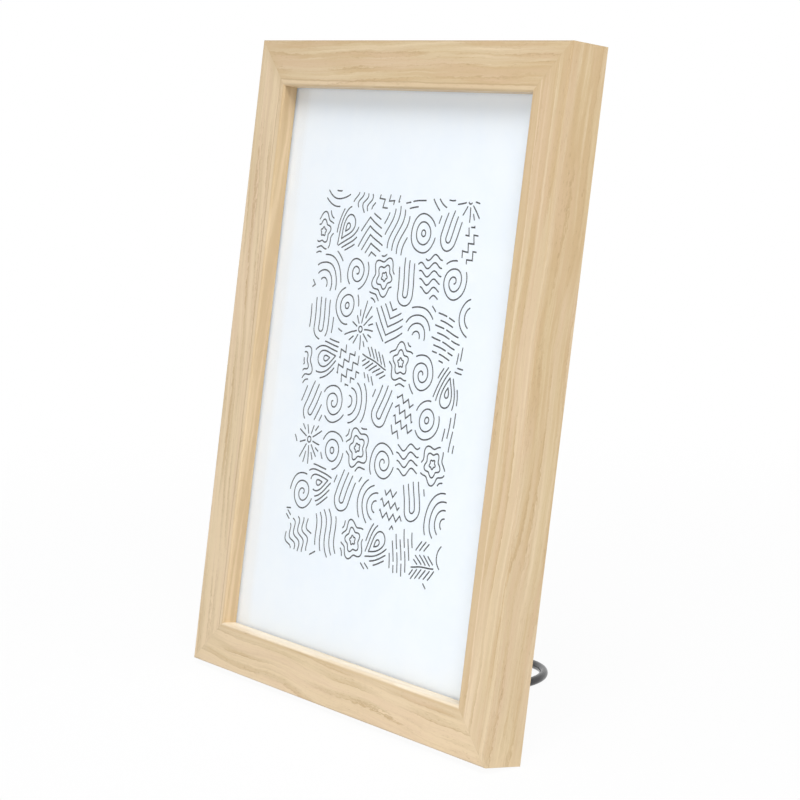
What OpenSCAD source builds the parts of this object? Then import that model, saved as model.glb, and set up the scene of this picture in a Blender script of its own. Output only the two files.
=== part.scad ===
// Leaning picture frame for one sheet, with a wire stand that plugs into its back.
// Origin: middle of the bounding box, at the surface it stands on. +Z up, front towards -Y.
// The frame is drawn upright with its back face in the plane y = 0, then leans back by lean.

/* [Sheet and moulding] */
// Width of the sheet that the frame holds
sheet_w = 210; // [150:1:320]
// Height of the sheet that the frame holds
sheet_h = 297; // [200:1:450]
// How far the lip covers the sheet on each side
lip_overlap = 5; // [3:0.5:8]
// Width of the moulding seen from the front
face_w = 24; // [20:0.5:40]
// Depth of the moulding from front to back
frame_d = 22; // [20:0.5:34]
// Thickness of the lip in front of the glass
lip_t = 8.5; // [4:0.5:10]
// Rounding of the moulding's outer edges
edge_r = 0.8; // [0.3:0.1:2]
// Rounding of the lip's front edge
lip_r = 1.4; // [0.5:0.1:3]
// Free space round the sheet in the rabbet
sheet_gap = 1; // [0.5:0.1:1.5]

/* [Glass, card and panel] */
// Thickness of the glass
glass_t = 1.5; // [1.2:0.1:3]
// Thickness of the printed sheet
print_t = 0.3; // [0.2:0.05:0.5]
// Thickness of the backing card
card_t = 3; // [1:0.1:3.5]
// Thickness of the back panel
panel_t = 3; // [2.5:0.1:3.5]

/* [Turn clips] */
// Thickness of the clip's steel
clip_t = 1; // [0.8:0.1:1.2]
// Width of the clip
clip_w = 9; // [7:0.5:12]
// Distance from the rabbet's wall to the clip's rivet
clip_inset = 11; // [9.5:0.5:14]
// Length of the clip's tail behind the rivet
clip_tail = 8.5; // [7:0.5:9]
// Height of the finger tab on the clip's tail
clip_tab_h = 3.5; // [2:0.5:4]
// Depth of the saw kerf that the clips turn into
kerf_depth = 3; // [2:0.5:4]
// Free space above and below a clip in its kerf
kerf_gap = 0.3; // [0.2:0.05:0.4]
// Free space between the clip's tip and the end of the kerf
tip_gap = 0.5; // [0.3:0.1:0.8]
// Share of the side's length from its middle to each side clip
clip_place_share = 0.26; // [0.15:0.01:0.4]
// Diameter of the rivet's shank
rivet_d = 3; // [2.5:0.1:3.5]
// Diameter of the rivet's heads
rivet_head_d = 6.5; // [5.5:0.1:7.5]
// Thickness of the rivet's heads
rivet_head_t = 0.8; // [0.6:0.1:1]
// Radial clearance of the clip on its rivet
rivet_fit = 0.05; // [0.02:0.01:0.1]
// Free space on each side of the clip along its rivet
clip_float = 0.15; // [0.1:0.05:0.2]

/* [Wire stand] */
// How far the frame leans back, in degrees
lean = 8.5; // [7:0.5:11]
// Diameter of the stand's wire
wire_d = 4.5; // [3.5:0.1:5]
// Distance from the back bottom edge to the middle of the ring
ring_y = 90; // [85:1:130]
// Distance from the frame's middle to the middle of the ring, towards the left stile
ring_aside = 6; // [0:0.5:10]
// Radius of the ring, to the middle of the wire
ring_r = 28; // [20:0.5:36]
// Radius of the bend that leads from the shank onto the ring
neck_r = 8; // [6:0.5:10]
// Radius of the bend where the shank meets the floor
heel_r = 14; // [8:0.5:20]
// How much the wire's radius draws in at its tight bends
bend_draw = 0.03; // [0.02:0.01:0.05]
// Angle by which the ring's end stops short of its point nearest the frame, in degrees
ring_open = 10; // [8:1:40]
// Wall of the sleeve on the wire's end
sleeve_wall = 0.75; // [0.6:0.05:1]
// Length of the sleeve inside the wood
sleeve_len = 14; // [10:0.5:15]
// Diameter of the sleeve's collar
collar_d = 9; // [8:0.5:11]
// Thickness of the sleeve's collar
collar_t = 1.2; // [0.8:0.1:2]
// Radial clearance of the wire in its sleeve
wire_fit = 0.05; // [0.02:0.01:0.1]
// Radial clearance of the sleeve in its hole
sleeve_fit = 0.05; // [0.02:0.01:0.1]
// Space left between the sleeve and the bottom of its hole
hole_spare = 2; // [1:0.5:2.5]

/* [Hangers and fixings] */
// Length of a toothed hanger
hanger_len = 45; // [35:1:60]
// Height of a toothed hanger
hanger_h = 9; // [7:0.5:12]
// Thickness of the hanger's steel
hanger_t = 0.8; // [0.6:0.1:1.2]
// Height of the hanger's bridge off the wood
bridge_gap = 1.6; // [1:0.1:2.5]
// Length of each flat end of a hanger
hanger_tab = 7; // [6:0.5:9]
// Number of notches along a hanger
notch_n = 9; // [5:2:13]
// Depth of a notch
notch_depth = 1.3; // [0.8:0.1:2]
// Diameter of a hanger nail
nail_d = 1.6; // [1.2:0.1:2]
// Length of a hanger nail in the wood
nail_len = 9; // [6:0.5:12]
// Diameter of a hanger nail's head
nail_head_d = 3.8; // [3:0.1:4.5]
// Thickness of a hanger nail's head
nail_head_t = 0.7; // [0.5:0.1:1]
// Radial clearance of a hanger nail in the steel
nail_fit = 0.1; // [0.05:0.05:0.2]
// Diameter of a wall bumper
bumper_d = 9; // [7:0.5:11]
// Thickness of a wall bumper
bumper_t = 2; // [1.5:0.1:3]
// Distance from the frame's side to the middle of a bumper
bumper_inset = 36; // [25:1:60]
// Length of each leg of a corner v-nail
vnail_leg = 6; // [4:0.5:6.5]
// Thickness of a corner v-nail
vnail_t = 0.6; // [0.4:0.1:0.8]
// Depth of a corner v-nail into the wood
vnail_depth = 10; // [6:0.5:12]

/* [Hidden] */
$fn = 96;
// How far a cut runs past the face that it starts from
overrun = 1;
// Steps in each rounded edge of the moulding
round_steps = 6;

wood_colour = "#dbc39c";
steel_colour = "#b9bcc0";
wire_colour = "#3a3b3d";

// The rabbet that the sheet lies in, and the whole frame
rabbet_w = lip_overlap + sheet_gap;
side_w = face_w - rabbet_w;
frame_w = sheet_w - 2 * lip_overlap + 2 * face_w;
frame_h = sheet_h - 2 * lip_overlap + 2 * face_w;

// Depths from the back face, where y = 0, to the back of each layer
glass_y = -(frame_d - lip_t - glass_t);
print_y = glass_y + print_t;
card_y = print_y + card_t;
panel_y = card_y + panel_t;
clip_y = panel_y + clip_float;
kerf_y = clip_y - kerf_gap;
kerf_w = clip_t + 2 * kerf_gap;
clip_reach = clip_inset + kerf_depth - tip_gap;

// The drilled holes for the stand, each in the middle of the wood behind the rabbet
sleeve_r = wire_d / 2 + wire_fit + sleeve_wall;
hole_r = sleeve_r + sleeve_fit;
hole_depth = sleeve_len + hole_spare;
hole_z = side_w / 2;
pin_len = sleeve_len - 2 * sleeve_wall;

// The stand's wire, in the upright plane x = 0 and then flat on the floor
wire_r = wire_d / 2;
heel_tangent = heel_r * tan(lean / 2);
shank_vertex = (hole_z * cos(lean) - wire_r) / sin(lean);
heel_y = hole_z * sin(lean) + shank_vertex * cos(lean);
neck_aside = neck_r + ring_aside;
neck_reach = sqrt(pow(ring_r + neck_r, 2) - pow(neck_aside, 2));
neck_turn = atan2(neck_reach, neck_aside);
neck_y = ring_y - neck_reach;
// Angle by which a tight bend runs on inside the wire at each end
bend_lap = 1.5;

// The whole part's front and back, which place the origin between them
front_y = -(frame_d - edge_r) * cos(lean) + edge_r * sin(lean) - edge_r;
back_y = ring_y + ring_r + wire_r;
origin_y = (front_y + back_y) / 2;

// Height of the side clips above and below the middle
clip_rise = clip_place_share * frame_h;
// Where the corners of the v-nails sit along the mitre, as shares of the wood behind the rabbet
vnail_shares = [0.1, 0.48];

// Points along an arc from angle a0 to angle a1, in n steps
function arc(cx, cy, r, a0, a1, n) =
    [for (i = [0:n]) [cx + r * cos(a0 + (a1 - a0) * i / n), cy + r * sin(a0 + (a1 - a0) * i / n)]];

// Stands the upright frame on its back bottom edge, leaning back
module leaning() {
    translate([0, -origin_y, 0])
        rotate([-lean, 0, 0])
            children();
}

// The moulding's section: x from the outer edge inwards, y from the back face at 0 to the front
module moulding_section() {
    polygon(concat(
        [[0, 0], [side_w, 0], [side_w, kerf_y + kerf_w]],
        [[side_w - kerf_depth, kerf_y + kerf_w], [side_w - kerf_depth, kerf_y], [side_w, kerf_y]],
        [[side_w, -(frame_d - lip_t)], [face_w, -(frame_d - lip_t)]],
        arc(face_w - lip_r, -(frame_d - lip_r), lip_r, 0, -90, round_steps),
        arc(edge_r, -(frame_d - edge_r), edge_r, -90, -180, round_steps)
    ));
}

// A mitred length of moulding along +Z, its outer edge at x = 0
module moulding(len) {
    intersection() {
        linear_extrude(len)
            moulding_section();
        translate([0, overrun, 0])
            rotate([90, 0, 0])
                linear_extrude(frame_d + 2 * overrun)
                    polygon([[0, 0], [face_w, face_w], [face_w, len - face_w], [0, len]]);
    }
}

// Puts a moulding's own frame at each side of the picture
module at_left() {
    translate([-frame_w / 2, 0, 0])
        children();
}

module at_right() {
    mirror([1, 0, 0])
        at_left()
            children();
}

module at_bottom() {
    translate([frame_w / 2, 0, 0])
        rotate([0, -90, 0])
            children();
}

module at_top() {
    translate([0, 0, frame_h])
        mirror([0, 0, 1])
            at_bottom()
                children();
}

// The socket for the stand, drilled from the back at a place in a moulding's own frame
module stand_hole(len) {
    translate([hole_z, overrun, len / 2])
        rotate([90, 0, 0])
            cylinder(r = hole_r, h = hole_depth + overrun);
}

// Two v-nails in the corner at a moulding's start; their legs run along both mouldings
module corner_vnails() {
    for (share = vnail_shares)
        translate([share * side_w, -vnail_depth, share * side_w])
            rotate([-90, 0, 0])
                mirror([0, 1, 0])
                    linear_extrude(vnail_depth)
                        polygon([
                            [0, 0], [vnail_leg, 0], [vnail_leg, vnail_t],
                            [vnail_t, vnail_t], [vnail_t, vnail_leg], [0, vnail_leg]
                        ]);
}

module all_vnails() {
    for (side = [0, 1], end = [0, 1])
        mirror([side, 0, 0])
            translate([-frame_w / 2, 0, end * frame_h])
                mirror([0, 0, end])
                    corner_vnails();
}

// A toothed hanger over a moulding: x along it from its middle, z across it, teeth towards -z
module toothed_hanger() {
    inner = hanger_len / 2 - hanger_tab;
    half = hanger_len / 2;
    step = bridge_gap;
    pitch = 2 * (inner - step) / (notch_n + 1);
    difference() {
        translate([0, 0, -hanger_h / 2])
            linear_extrude(hanger_h)
                polygon([
                    [-half, 0], [-inner, 0], [-inner + step, bridge_gap], [inner - step, bridge_gap],
                    [inner, 0], [half, 0], [half, hanger_t], [inner + hanger_t / 2, hanger_t],
                    [inner - step + hanger_t / 2, bridge_gap + hanger_t],
                    [-inner + step - hanger_t / 2, bridge_gap + hanger_t],
                    [-inner - hanger_t / 2, hanger_t], [-half, hanger_t]
                ]);
        for (i = [0:notch_n - 1])
            translate([(i - (notch_n - 1) / 2) * pitch, -overrun, -hanger_h / 2])
                rotate([-90, 0, 0])
                    linear_extrude(bridge_gap + hanger_t + 2 * overrun)
                        polygon([[-pitch / 3, overrun], [-pitch / 3, 0], [0, -notch_depth],
                                 [pitch / 3, 0], [pitch / 3, overrun]]);
        for (side = [-1, 1])
            translate([side * (half - hanger_tab / 2), -overrun, 0])
                rotate([-90, 0, 0])
                    cylinder(d = nail_d + 2 * nail_fit, h = hanger_t + 2 * overrun);
    }
}

// The two nails of one hanger, in the hanger's own frame
module hanger_nail_pair() {
    for (side = [-1, 1])
        translate([side * (hanger_len - hanger_tab) / 2, 0, 0]) {
            translate([0, hanger_t, 0])
                rotate([-90, 0, 0])
                    cylinder(d = nail_head_d, h = nail_head_t);
            translate([0, -nail_len, 0])
                rotate([-90, 0, 0])
                    cylinder(d = nail_d, h = nail_len + hanger_t);
        }
}

// Carries a hanger to the top rail, or to the right stile with its teeth inwards
module at_upright_hanger() {
    translate([0, 0, frame_h - side_w / 2])
        children();
}

module at_sideways_hanger() {
    translate([frame_w / 2 - side_w / 2, 0, frame_h / 2])
        rotate([0, 90, 0])
            children();
}

module all_hanger_nails() {
    at_upright_hanger()
        hanger_nail_pair();
    at_sideways_hanger()
        hanger_nail_pair();
}

// One clip in its own frame: its rivet's axis along y, its tongue along +x
module clip_shape() {
    translate([0, clip_t, 0])
        rotate([90, 0, 0])
            difference() {
                linear_extrude(clip_t)
                    union() {
                        translate([-clip_tail, -clip_w / 2])
                            square([clip_tail + clip_reach - clip_w / 2, clip_w]);
                        translate([clip_reach - clip_w / 2, 0])
                            circle(d = clip_w);
                    }
                translate([0, 0, -overrun])
                    cylinder(d = rivet_d + 2 * rivet_fit, h = clip_t + 2 * overrun);
            }
    translate([-clip_tail, 0, -clip_w / 2])
        cube([clip_t, clip_tab_h, clip_w]);
}

// One rivet in a clip's frame: the outer head over the clip, the inner one sunk in the panel
module rivet_shape() {
    inner_y = -(clip_float + panel_t);
    head_y = clip_t + clip_float;
    translate([0, inner_y, 0])
        rotate([-90, 0, 0]) {
            cylinder(d = rivet_head_d, h = rivet_head_t);
            cylinder(d = rivet_d, h = head_y - inner_y);
        }
    translate([0, head_y, 0])
        rotate([-90, 0, 0])
            cylinder(d1 = rivet_head_d, d2 = rivet_head_d - rivet_head_t, h = rivet_head_t);
}

// Each clip's place: its rivet's x and z, and the turn that points its tongue at the wall
clip_left = [-(frame_w / 2 - side_w - clip_inset), 180];
clip_right = [frame_w / 2 - side_w - clip_inset, 0];
clip_places = [
    [clip_left[0], frame_h / 2 + clip_rise, clip_left[1]],
    [clip_left[0], frame_h / 2 - clip_rise, clip_left[1]],
    [clip_right[0], frame_h / 2 + clip_rise, clip_right[1]],
    [clip_right[0], frame_h / 2 - clip_rise, clip_right[1]],
    [0, frame_h - side_w - clip_inset, -90],
    [0, side_w + clip_inset, 90]
];

module at_clip(i) {
    translate([clip_places[i][0], clip_y, clip_places[i][1]])
        rotate([0, clip_places[i][2], 0])
            children();
}

// A sheet as large as the print, lying on the rabbet's lower wall
module rabbet_sheet(back, thickness) {
    translate([-sheet_w / 2, back - thickness, side_w])
        cube([sheet_w, thickness, sheet_h]);
}

module stile_left() {
    color(wood_colour)
        leaning()
            difference() {
                at_left()
                    moulding(frame_h);
                at_left()
                    stand_hole(frame_h);
                all_vnails();
            }
}

module stile_right() {
    color(wood_colour)
        leaning()
            difference() {
                at_right()
                    moulding(frame_h);
                all_vnails();
                all_hanger_nails();
            }
}

module rail_top() {
    color(wood_colour)
        leaning()
            difference() {
                at_top()
                    moulding(frame_w);
                all_vnails();
                all_hanger_nails();
            }
}

module rail_bottom() {
    color(wood_colour)
        leaning()
            difference() {
                at_bottom()
                    moulding(frame_w);
                at_bottom()
                    stand_hole(frame_w);
                all_vnails();
            }
}

module corner_v_nails() {
    color(steel_colour)
        leaning()
            all_vnails();
}

module glass_pane() {
    color("#cfe0df", 0.3)
        leaning()
            rabbet_sheet(glass_y, glass_t);
}

module print_sheet() {
    color("#eff3f8")
        leaning()
            rabbet_sheet(print_y, print_t);
}

module backing_card() {
    color("#b89a72")
        leaning()
            rabbet_sheet(card_y, card_t);
}

module back_panel() {
    color("#5b4a3a")
        leaning()
            difference() {
                rabbet_sheet(panel_y, panel_t);
                for (i = [0:len(clip_places) - 1])
                    at_clip(i)
                        translate([0, -(clip_float + panel_t + overrun), 0])
                            rotate([-90, 0, 0]) {
                                cylinder(d = rivet_head_d + 2 * rivet_fit, h = rivet_head_t + overrun);
                                cylinder(d = rivet_d + 2 * rivet_fit, h = panel_t + 2 * overrun);
                            }
            }
}

module turn_clip(i) {
    color(steel_colour)
        leaning()
            at_clip(i)
                clip_shape();
}

module clip_rivets() {
    color("#8d9094")
        leaning()
            for (i = [0:len(clip_places) - 1])
                at_clip(i)
                    rivet_shape();
}

module hanger_upright() {
    color(steel_colour)
        leaning()
            at_upright_hanger()
                toothed_hanger();
}

module hanger_sideways() {
    color(steel_colour)
        leaning()
            at_sideways_hanger()
                toothed_hanger();
}

module hanger_nails() {
    color("#c9b26a")
        leaning()
            all_hanger_nails();
}

// The sleeve: a closed tube in the wood with a collar on the back face
module wire_sleeve() {
    color("#1f2022")
        leaning()
            translate([0, -sleeve_len, hole_z])
                rotate([-90, 0, 0])
                    difference() {
                        union() {
                            cylinder(r = sleeve_r, h = sleeve_len + collar_t);
                            translate([0, 0, sleeve_len])
                                cylinder(d = collar_d, h = collar_t);
                        }
                        translate([0, 0, sleeve_wall])
                            cylinder(r = wire_r + wire_fit, h = sleeve_len + collar_t);
                    }
}

// An arc of wire round +Z from one angle through another, in the plane z = 0
module wire_arc(bend_r, from, turn, r = wire_r) {
    rotate([0, 0, from])
        rotate_extrude(angle = turn)
            translate([bend_r, 0])
                circle(r = r);
}

// A tight bend, a little thinner than the wire, whose ends run on inside the wire it joins
module tight_bend(bend_r, from, turn) {
    wire_arc(bend_r, from - bend_lap, turn + 2 * bend_lap, wire_r - bend_draw);
}

// The stand: a pin in the sleeve, a shank down to the floor, a neck and a ring lying flat
module wire_stand() {
    color(wire_colour) {
        leaning()
            translate([0, -pin_len, hole_z])
                rotate([-90, 0, 0])
                    cylinder(r = wire_r, h = pin_len + shank_vertex - heel_tangent);
        translate([0, -origin_y, wire_r]) {
            translate([0, heel_y + heel_tangent, heel_r])
                rotate([90, 0, 90])
                    tight_bend(heel_r, -90 - lean, lean);
            translate([0, heel_y + heel_tangent, 0])
                rotate([-90, 0, 0])
                    cylinder(r = wire_r, h = neck_y - heel_y - heel_tangent);
            translate([neck_r, neck_y, 0])
                tight_bend(neck_r, 180 - neck_turn, neck_turn);
            translate([-ring_aside, ring_y, 0]) {
                wire_arc(ring_r, -neck_turn, 270 + neck_turn - ring_open);
                rotate([0, 0, 270 - ring_open])
                    translate([ring_r, 0, 0])
                        sphere(r = wire_r - bend_draw);
            }
        }
    }
}

module wall_bumpers() {
    color("#d8dadb", 0.7)
        leaning()
            for (side = [-1, 1], z = [side_w / 2, frame_h - side_w / 2])
                translate([side * (frame_w / 2 - bumper_inset), 0, z])
                    rotate([-90, 0, 0])
                        cylinder(d1 = bumper_d, d2 = bumper_d - bumper_t, h = bumper_t);
}

stile_left();
stile_right();
rail_top();
rail_bottom();
corner_v_nails();
glass_pane();
print_sheet();
backing_card();
back_panel();
turn_clip(0);  // turn_clip_left_upper
turn_clip(1);  // turn_clip_left_lower
turn_clip(2);  // turn_clip_right_upper
turn_clip(3);  // turn_clip_right_lower
turn_clip(4);  // turn_clip_top
turn_clip(5);  // turn_clip_bottom
clip_rivets();
hanger_upright();
hanger_sideways();
hanger_nails();
wire_sleeve();
wire_stand();
wall_bumpers();
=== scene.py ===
import math

import bpy
import numpy as np
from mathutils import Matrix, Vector


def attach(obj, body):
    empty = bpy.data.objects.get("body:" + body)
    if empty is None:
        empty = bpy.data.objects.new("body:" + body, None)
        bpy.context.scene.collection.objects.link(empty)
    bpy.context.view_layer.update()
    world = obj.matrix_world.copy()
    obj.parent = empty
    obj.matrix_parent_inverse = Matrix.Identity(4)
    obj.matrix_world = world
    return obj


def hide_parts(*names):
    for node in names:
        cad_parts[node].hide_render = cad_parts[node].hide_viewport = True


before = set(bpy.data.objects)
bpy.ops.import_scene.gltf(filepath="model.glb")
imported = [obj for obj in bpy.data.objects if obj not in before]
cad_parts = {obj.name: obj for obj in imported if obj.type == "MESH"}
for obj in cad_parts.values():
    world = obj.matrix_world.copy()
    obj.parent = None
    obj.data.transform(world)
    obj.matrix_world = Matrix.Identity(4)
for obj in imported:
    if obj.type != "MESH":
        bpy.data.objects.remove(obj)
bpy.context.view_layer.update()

# Camera
# It stands at the frame's right, level with its top, and looks a little down, as in the photograph.
# The focal length is the photograph's own, about three times the sensor's width.
CAMERA_PLACE = (0.9283, -0.7356, 0.3346)
CAMERA_LOOKS = (-0.7848, 0.6009, -0.1515)
CAMERA_LENS_MM = 105.7
SENSOR_MM = 36.0

camera = bpy.data.objects.new("camera", bpy.data.cameras.new("camera"))
camera.data.sensor_width = SENSOR_MM
camera.data.lens = CAMERA_LENS_MM
camera.location = CAMERA_PLACE
camera.rotation_euler = Vector(CAMERA_LOOKS).to_track_quat("-Z", "Y").to_euler()
bpy.context.scene.collection.objects.link(camera)
bpy.context.scene.camera = camera

# Mouldings
# Four lengths of light wood, planed to one section with a rabbet at the back, sawn at 45 degrees and
# glued. The grain runs along each length, so it turns at each mitre, and a satin lacquer closes it.
LEAN = math.radians(8.5)
FRAME_W = 248.0
FRAME_H = 335.0
FACE_W = 24.0
SIDE_W = 18.0
YEAR_W = 7.5
# The back face is at y = 0 and the front face at y = -FRAME_D, before the frame leans back. The model's
# origin is on the floor, ORIGIN_Y behind the frame's lower back edge.
FRAME_D = 22.0
ORIGIN_Y = 49.3006
MM = 0.001


def shade(red, green, blue):
    """A colour on the 0 to 255 scale of a picture, made linear for the shader."""
    part = np.array([red, green, blue]) / 255
    line = np.where(part <= 0.04045, part / 12.92, ((part + 0.055) / 1.055) ** 2.4)
    return (*line.tolist(), 1.0)


class Socket:
    """An output of a shader node. Arithmetic on it adds Math nodes to the finish it belongs to."""

    def __init__(self, finish, socket):
        self.finish = finish
        self.socket = socket

    def math(self, operation, *values):
        return self.finish.node("ShaderNodeMath", {"operation": operation}, dict(enumerate(values)))

    def __add__(self, other):
        return self.math("ADD", self, other)

    def __sub__(self, other):
        return self.math("SUBTRACT", self, other)

    def __rsub__(self, other):
        return self.math("SUBTRACT", other, self)

    def __mul__(self, other):
        return self.math("MULTIPLY", self, other)

    def __truediv__(self, other):
        return self.math("DIVIDE", self, other)

    def __pow__(self, other):
        return self.math("POWER", self, other)

    def __abs__(self):
        return self.math("ABSOLUTE", self)

    __radd__ = __add__
    __rmul__ = __mul__

    def most(self, other):
        return self.math("MAXIMUM", self, other)

    def fraction(self):
        return self.math("FRACT", self)

    def rise(self, start, end):
        """0 below start, 1 above end, and an S-curve between."""
        settings = {"interpolation_type": "SMOOTHSTEP"}
        return self.finish.node("ShaderNodeMapRange", settings, {0: self, 1: start, 2: end})


class Finish:
    """A material on a Principled shader: constants go straight on its sockets, patterns are fed in."""

    def __init__(self, name, roughness=0.5, **constants):
        self.material = bpy.data.materials.new(name)
        self.material.use_nodes = True
        self.tree = self.material.node_tree
        self.shader = self.tree.nodes["Principled BSDF"]
        self.shader.inputs["Roughness"].default_value = roughness
        for socket, value in constants.items():
            self.shader.inputs[socket.replace("_", " ")].default_value = value

    def node(self, kind, settings=None, inputs=None, output=0):
        """Adds a node: first its settings, then a value or a link on each socket. Gives its outputs."""
        made = self.tree.nodes.new(kind)
        for key, value in (settings or {}).items():
            setattr(made, key, value)
        for key, value in (inputs or {}).items():
            self.join(value, made.inputs[key])
        if isinstance(output, tuple):
            return [Socket(self, made.outputs[each]) for each in output]
        return Socket(self, made.outputs[output])

    def join(self, value, socket):
        if isinstance(value, Socket):
            self.tree.links.new(value.socket, socket)
        else:
            socket.default_value = value

    def feed(self, socket, value):
        self.join(value, self.shader.inputs[socket])

    def vector(self, x, y, z):
        return self.node("ShaderNodeCombineXYZ", inputs={0: x, 1: y, 2: z})

    def split(self, vector):
        return self.node("ShaderNodeSeparateXYZ", inputs={0: vector}, output=(0, 1, 2))

    def upright_mm(self):
        """The place on the frame in millimetres, its lean taken out: x, depth from the back, height."""
        place = self.node("ShaderNodeTexCoord", output="Object")
        shift = (0.0, ORIGIN_Y * math.cos(LEAN), ORIGIN_Y * math.sin(LEAN))
        mapping = {"Vector": place, "Location": shift, "Rotation": (LEAN, 0, 0), "Scale": (1 / MM,) * 3}
        x, y, z = self.split(self.node("ShaderNodeMapping", inputs=mapping))
        return x, -1 * y, z

    def noise(self, vector, detail=2.0, roughness=0.5):
        inputs = {"Vector": vector, "Scale": 1.0, "Detail": detail, "Roughness": roughness}
        return self.node("ShaderNodeTexNoise", inputs=inputs)

    def mix(self, one, two, share):
        """Two colours mixed by a share from 0 to 1."""
        return self.node("ShaderNodeMix", {"data_type": "RGBA"}, {0: share, 6: one, 7: two}, output=2)

    def bump(self, height, millimetres, strength=1.0):
        inputs = {"Height": height, "Distance": millimetres * MM, "Strength": strength}
        self.feed("Normal", self.node("ShaderNodeBump", inputs=inputs))


PALE_WOOD = shade(235, 213, 182)
LIGHT_WOOD = shade(228, 204, 168)
MIDDLE_WOOD = shade(216, 192, 154)
DARK_WOOD = shade(206, 177, 134)
ROSY_WOOD = shade(222, 193, 162)
GOLD_WOOD = shade(220, 199, 156)
# Painted shade for the rounded outer front edge.
ARRIS_SHADE = shade(172, 150, 118)
LINE_WOOD = shade(185, 154, 112)
PORE_WOOD = shade(163, 132, 92)
SEAM_WOOD = shade(168, 141, 102)


def moulding_finish(name, runs_along, from_edge, flows, darker, sight, wall_shade_and_sheen):
    """Grain as one flow: a tilt, a slow drift, a ripple and a fine jag bend the direction across the
    length. Each year's ring starts dark at a ragged edge full of pores and fades to light; streaks,
    fibres and pores are noise drawn out along the flow, and patches lean to rosy or golden. A band of
    painted light and shade follows the rounded sight edge, with a thin line beside it. The lip's wall is
    quieter, in a tone that is painted shade at the left and top and a painted sheen on the bottom ledge,
    and the outer front edge has painted shade. Painted shade also darkens the wood towards the top.
    Tones draw together at each mitre, which has a glue line."""
    tilt, drift, ripple, seed = flows
    sight_w, sight_band_light_and_shade, sight_line_light_and_shade = sight
    finish = Finish(name, Coat_Roughness=0.25, Specular_IOR_Level=0.45)
    x, depth, z = finish.upright_mm()
    along = z - FRAME_H / 2 if runs_along == "z" else x
    across = {
        "left": x + FRAME_W / 2, "right": FRAME_W / 2 - x, "top": FRAME_H - z, "bottom": z
    }[from_edge]
    slow = finish.noise(finish.vector(along * 0.009 + seed, across * 0.012, depth * 0.02), 1.0)
    small = finish.noise(finish.vector(along * 0.06 + seed, across * 0.12, depth * 0.12), 2.0, 0.6)
    jag = finish.noise(finish.vector(along * 0.2 + seed, across * 0.9, depth * 0.9), 3.0, 0.7)
    flow = across + depth * 0.8 + along * tilt + (slow - 0.5) * drift + (small - 0.5) * ripple
    ragged = flow + (jag - 0.5) * 1.2
    broad = finish.noise(finish.vector(along * 0.0045 + seed, flow * 0.15, depth * 0.03), 1.0)
    narrow = finish.noise(finish.vector(along * 0.010, ragged * 0.5 + seed, depth * 0.1), 2.0)
    fibre = finish.noise(finish.vector(along * 0.04, ragged * 1.7, depth * 0.3 + seed), 3.0, 0.6)
    hair = finish.noise(finish.vector(along * 0.3 + seed, ragged * 1.9, depth * 0.5), 2.0, 0.6)
    patch = finish.noise(finish.vector(along * 0.012 + seed, flow * 0.12, depth * 0.05 + 7.0), 2.0)
    fades = finish.noise(finish.vector(along * 0.016, flow * 0.13 + seed, 3.0), 1.0).rise(0.36, 0.62)
    year = ((flow + (jag - 0.5) * 3.6 + (broad - 0.5) * 14.0) / YEAR_W).fraction()
    ring = year.rise(0.0, 0.06) * (1.0 - year.rise(0.1, 0.75)) * fades
    edge = (1.0 - abs(year - 0.07)).rise(0.93, 1.0) * fades
    pores = hair.rise(0.57, 0.68) * (0.35 + ring * 0.8)
    wavering = (small - 0.5) * ripple * 0.7 + (slow - 0.5) * 3.0 + (jag - 0.5) * 0.8
    by_sight = across + wavering - (FACE_W - sight_w)

    tone = ring * 0.7 + broad.rise(0.34, 0.66) * 0.35 + (narrow - 0.5) * 1.1 + (fibre - 0.5) * 1.0
    # Painted shade: the tone darkens evenly towards the top, in place of the floor's light falling off
    # upward.
    painted_shade_higher = (z - FRAME_H / 2) * 0.0015
    tone = tone + darker + painted_shade_higher
    from_end = (FRAME_H / 2 - abs(along)) if runs_along == "z" else (FRAME_W / 2 - abs(along))
    by_mitre = 1.0 - abs(from_end - across).rise(0.5, 9.0)
    tone = tone + (0.5 + painted_shade_higher - tone) * by_mitre * 0.55
    colour = finish.mix(LIGHT_WOOD, MIDDLE_WOOD, tone.rise(-0.1, 0.45))
    colour = finish.mix(colour, DARK_WOOD, tone.rise(0.35, 1.05))
    hue = patch + (narrow - 0.5) * 0.4 + (fibre - 0.5) * 0.2
    own_hue = 1.0 - by_mitre * 0.7
    colour = finish.mix(colour, ROSY_WOOD, hue.rise(0.46, 0.66) * own_hue * 0.4)
    colour = finish.mix(colour, GOLD_WOOD, (1.0 - hue).rise(0.52, 0.7) * own_hue * 0.3)
    colour = finish.mix(colour, PALE_WOOD, (1.0 - narrow).rise(0.54, 0.74) * (1.0 - ring) * 0.38)
    # Painted highlight and shade: a band along the sight edge and a thin line beside it stand in for the
    # light on the rounded lip.
    colour = finish.mix(colour, sight_band_light_and_shade, by_sight.rise(-0.3, 0.5) * 0.5)
    colour = finish.mix(colour, sight_line_light_and_shade, (1.0 - abs(by_sight).rise(0.15, 0.6)) * 0.5)
    # Painted light on the lip's wall: its tone is painted shade at the left and top, and a painted sheen on
    # the bottom ledge.
    on_wall = across.rise(FACE_W - 1.7, FACE_W - 0.5)
    colour = finish.mix(colour, wall_shade_and_sheen, on_wall * (0.45 + narrow.rise(0.35, 0.65) * 0.34))
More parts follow.
